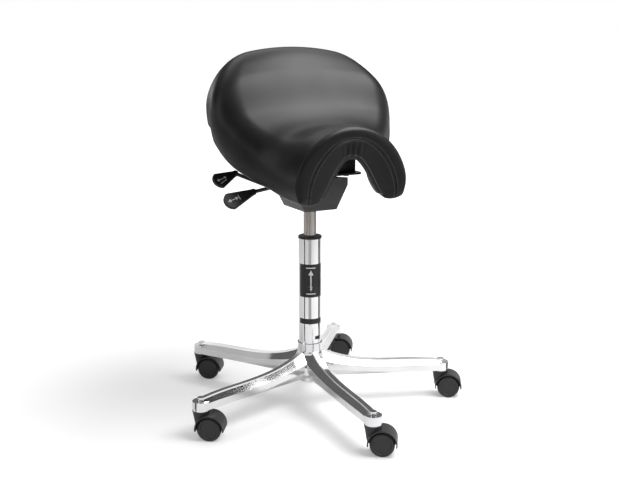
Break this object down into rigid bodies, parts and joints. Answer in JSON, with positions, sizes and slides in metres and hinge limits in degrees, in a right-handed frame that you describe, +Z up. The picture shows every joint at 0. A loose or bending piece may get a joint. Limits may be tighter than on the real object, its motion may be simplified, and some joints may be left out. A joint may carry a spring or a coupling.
{
  "type": "saddle stool",
  "caption": "Height-adjustable saddle stool: padded saddle seat on a tilting mechanism with hand levers, gas lift column and star base on twin-wheel castors.",
  "frame": {"origin": "on the floor, under the centre of the column", "axes": "+Z up along the column, -Y the way the sitter faces, +X to the sitter's left"},
  "size_m": [0.6433, 0.622, 0.7813],
  "materials": {
    "polished_aluminium": "polished",
    "polished_steel": "polished",
    "black_lacquer": "satin",
    "grey_lacquer": "satin",
    "cylinder_grey": "satin",
    "steel": "ground",
    "black_plastic": "fine texture",
    "castor_plastic": "moulded",
    "block_wood": "stained black",
    "shell_plastic": "moulded",
    "seat_vinyl": "soft semi-gloss"
  },
  "bodies": {
    "base": {"star_base": "polished_aluminium", "column_tube": "polished_steel", "guide_sleeve": "black_plastic"},
    "piston": {"piston_rod": "steel", "thrust_bearing": "steel", "rod_clip": "steel"},
    "lift": {"gas_cylinder": "cylinder_grey", "cylinder_gland": "black_plastic", "mechanism_pan": "grey_lacquer", "taper_socket": "steel", "tilt_pivot_pin": "steel", "pivot_spacers": "black_plastic", "pivot_clips": "steel", "clamp_washers": "steel", "lever_bracket": "grey_lacquer", "lever_pin": "steel"},
    "release": {"release_button": "steel"},
    "height_lever": {"height_lever_rod": "black_lacquer", "height_lever_paddle": "black_plastic"},
    "tilt_lever": {"tilt_lever_rod": "black_lacquer", "tilt_lever_paddle": "black_plastic", "clamp_nut": "steel"},
    "seat": {"tilt_bracket": "grey_lacquer", "seat_plate": "black_lacquer", "saddle_block": "block_wood", "seat_shell": "shell_plastic", "seat_cushion": "seat_vinyl", "seat_bolts": "steel", "bolt_washers": "steel"},
    "castor_1": {"castor_1_hood": "castor_plastic", "castor_1_stem": "steel", "castor_1_axle": "steel"},
    "castor_1_wheel_left_roll": {"castor_1_wheel_left": "castor_plastic"},
    "castor_1_wheel_right_roll": {"castor_1_wheel_right": "castor_plastic"},
    "castor_2": {"castor_2_hood": "castor_plastic", "castor_2_stem": "steel", "castor_2_axle": "steel"},
    "castor_2_wheel_left_roll": {"castor_2_wheel_left": "castor_plastic"},
    "castor_2_wheel_right_roll": {"castor_2_wheel_right": "castor_plastic"},
    "castor_3": {"castor_3_hood": "castor_plastic", "castor_3_stem": "steel", "castor_3_axle": "steel"},
    "castor_3_wheel_left_roll": {"castor_3_wheel_left": "castor_plastic"},
    "castor_3_wheel_right_roll": {"castor_3_wheel_right": "castor_plastic"},
    "castor_4": {"castor_4_hood": "castor_plastic", "castor_4_stem": "steel", "castor_4_axle": "steel"},
    "castor_4_wheel_left_roll": {"castor_4_wheel_left": "castor_plastic"},
    "castor_4_wheel_right_roll": {"castor_4_wheel_right": "castor_plastic"},
    "castor_5": {"castor_5_hood": "castor_plastic", "castor_5_stem": "steel", "castor_5_axle": "steel"},
    "castor_5_wheel_left_roll": {"castor_5_wheel_left": "castor_plastic"},
    "castor_5_wheel_right_roll": {"castor_5_wheel_right": "castor_plastic"}
  },
  "joints": [
    {"name": "seat_swivel", "type": "hinge", "parent": "base", "child": "piston", "pos_m": [0, 0, 0.06], "axis": [0, 0, 1], "continuous": true},
    {"name": "seat_height", "type": "slide", "parent": "piston", "child": "lift", "axis": [0, 0, 1], "range_m": [-0.04, 0.09]},
    {"name": "height_lever_pull", "type": "hinge", "parent": "lift", "child": "height_lever", "pos_m": [-0.03, 0, 0.4963], "axis": [0, 1, 0], "range_deg": [0, 5], "stiffness_Nm_per_rad": 8},
    {"name": "release_press", "type": "slide", "parent": "lift", "child": "release", "axis": [0, 0, 1], "range_m": [-0.003, 0]},
    {"name": "tilt_lever_turn", "type": "hinge", "parent": "lift", "child": "tilt_lever", "pos_m": [0, 0.03, 0.484], "axis": [1, 0, 0], "range_deg": [0, 20]},
    {"name": "seat_tilt", "type": "hinge", "parent": "lift", "child": "seat", "pos_m": [0, -0.032, 0.501], "axis": [1, 0, 0], "range_deg": [-6, 8]},
    {"name": "castor_1_swivel", "type": "hinge", "parent": "base", "child": "castor_1", "pos_m": [0.27893, -0.11044, 0.06], "axis": [0, 0, 1], "continuous": true},
    {"name": "castor_1_wheel_left_spin", "type": "hinge", "parent": "castor_1", "child": "castor_1_wheel_left_roll", "pos_m": [0.29461, -0.12117, 0.025], "axis": [0.565, 0.8251, 0], "continuous": true},
    {"name": "castor_1_wheel_right_spin", "type": "hinge", "parent": "castor_1", "child": "castor_1_wheel_right_roll", "pos_m": [0.29461, -0.12117, 0.025], "axis": [0.565, 0.8251, 0], "continuous": true},
    {"name": "castor_2_swivel", "type": "hinge", "parent": "base", "child": "castor_2", "pos_m": [0.19123, 0.23115, 0.06], "axis": [0, 0, 1], "continuous": true},
    {"name": "castor_2_wheel_left_spin", "type": "hinge", "parent": "castor_2", "child": "castor_2_wheel_left_roll", "pos_m": [0.2069, 0.22042, 0.025], "axis": [0.565, 0.8251, 0], "continuous": true},
    {"name": "castor_2_wheel_right_spin", "type": "hinge", "parent": "castor_2", "child": "castor_2_wheel_right_roll", "pos_m": [0.2069, 0.22042, 0.025], "axis": [0.565, 0.8251, 0], "continuous": true},
    {"name": "castor_3_swivel", "type": "hinge", "parent": "base", "child": "castor_3", "pos_m": [-0.16075, 0.2533, 0.06], "axis": [0, 0, 1], "continuous": true},
    {"name": "castor_3_wheel_left_spin", "type": "hinge", "parent": "castor_3", "child": "castor_3_wheel_left_roll", "pos_m": [-0.14507, 0.24256, 0.025], "axis": [0.565, 0.8251, 0], "continuous": true},
    {"name": "castor_3_wheel_right_spin", "type": "hinge", "parent": "castor_3", "child": "castor_3_wheel_right_roll", "pos_m": [-0.14507, 0.24256, 0.025], "axis": [0.565, 0.8251, 0], "continuous": true},
    {"name": "castor_4_swivel", "type": "hinge", "parent": "base", "child": "castor_4", "pos_m": [-0.29058, -0.07461, 0.06], "axis": [0, 0, 1], "continuous": true},
    {"name": "castor_4_wheel_left_spin", "type": "hinge", "parent": "castor_4", "child": "castor_4_wheel_left_roll", "pos_m": [-0.2749, -0.08534, 0.025], "axis": [0.565, 0.8251, 0], "continuous": true},
    {"name": "castor_4_wheel_right_spin", "type": "hinge", "parent": "castor_4", "child": "castor_4_wheel_right_roll", "pos_m": [-0.2749, -0.08534, 0.025], "axis": [0.565, 0.8251, 0], "continuous": true},
    {"name": "castor_5_swivel", "type": "hinge", "parent": "base", "child": "castor_5", "pos_m": [-0.01884, -0.29941, 0.06], "axis": [0, 0, 1], "continuous": true},
    {"name": "castor_5_wheel_left_spin", "type": "hinge", "parent": "castor_5", "child": "castor_5_wheel_left_roll", "pos_m": [-0.00316, -0.31014, 0.025], "axis": [0.565, 0.8251, 0], "continuous": true},
    {"name": "castor_5_wheel_right_spin", "type": "hinge", "parent": "castor_5", "child": "castor_5_wheel_right_roll", "pos_m": [-0.00316, -0.31014, 0.025], "axis": [0.565, 0.8251, 0], "continuous": true}
  ],
  "couplings": [
    {"joint": "release_press", "follows": "height_lever_pull", "m_per_rad": -0.03}
  ]
}
